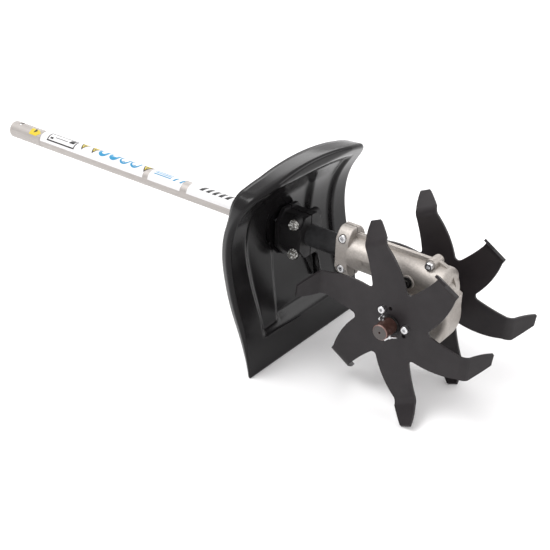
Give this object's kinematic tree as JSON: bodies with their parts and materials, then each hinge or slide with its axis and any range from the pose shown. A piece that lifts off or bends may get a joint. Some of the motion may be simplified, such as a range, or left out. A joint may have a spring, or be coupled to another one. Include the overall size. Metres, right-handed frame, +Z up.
{
  "type": "garden cultivator attachment",
  "caption": "Split-shaft mini cultivator attachment: straight tube, worm gear case, paired six-arm folded tine wheels and a curved black deflector.",
  "frame": {"origin": "on the ground, under the middle of the whole tool's length and width", "axes": "+X along the tube, from its open end towards the tine wheels; +Y along the axle; +Z up"},
  "size_m": [0.8346, 0.244, 0.258],
  "materials": {
    "tube": "drawn tube, satin",
    "label": "printed film",
    "sleeve": "satin black",
    "guard": "glossy black moulding",
    "clamp": "satin black moulding",
    "nylon": "natural nylon",
    "cast_case": "die cast, satin",
    "zinc": "bright zinc plate",
    "black_steel": "black oxide",
    "steel": "machined steel",
    "bearing": "ground steel",
    "seal": "nitrile rubber",
    "axle": "turned steel with red-brown oxide",
    "bronze": "cut bronze",
    "tine": "black paint on sheet steel"
  },
  "bodies": {
    "frame": {"drive_tube": "tube", "shaft_bushes": "nylon", "end_bush": "nylon", "tube_sleeve": "sleeve", "tube_labels": "label", "worm_bearing_rear": "bearing", "worm_bearing_front": "bearing", "gear_case_near": "cast_case", "gear_case_far": "cast_case", "case_screws": "zinc", "case_dowels": "steel", "grease_plug": "black_steel", "plug_washer": "black_steel", "axle_bearing_near": "bearing", "axle_bearing_far": "bearing", "axle_seal_near": "seal", "axle_seal_far": "seal", "guard_shell": "guard", "guard_screws": "zinc", "guard_clamp_near": "clamp", "guard_clamp_far": "clamp", "clamp_bolts": "zinc", "clamp_nuts": "zinc"},
    "rotor": {"axle": "axle", "worm_wheel": "bronze", "worm_wheel_key": "steel", "hub_keys": "steel", "hub_circlips": "black_steel", "tine_wheel_near": "tine", "tine_wheel_far": "tine", "wheel_hub_near": "tine", "wheel_hub_far": "tine", "hub_screws_near": "zinc", "hub_screws_far": "zinc", "cotter_pin_near": "zinc", "cotter_pin_far": "zinc"},
    "drive_line": {"drive_shaft": "steel", "worm": "steel", "worm_circlip": "black_steel"}
  },
  "joints": [
    {"name": "tine_rotor_spin", "type": "hinge", "parent": "frame", "child": "rotor", "pos_m": [0.29973, 0, 0.11105], "axis": [0, 1, 0], "continuous": true},
    {"name": "drive_spin", "type": "hinge", "parent": "frame", "child": "drive_line", "pos_m": [-0.00027, 0, 0.1533], "axis": [1, 0, 0], "continuous": true}
  ],
  "couplings": [
    {"joint": "drive_spin", "follows": "tine_rotor_spin", "ratio": -34}
  ]
}
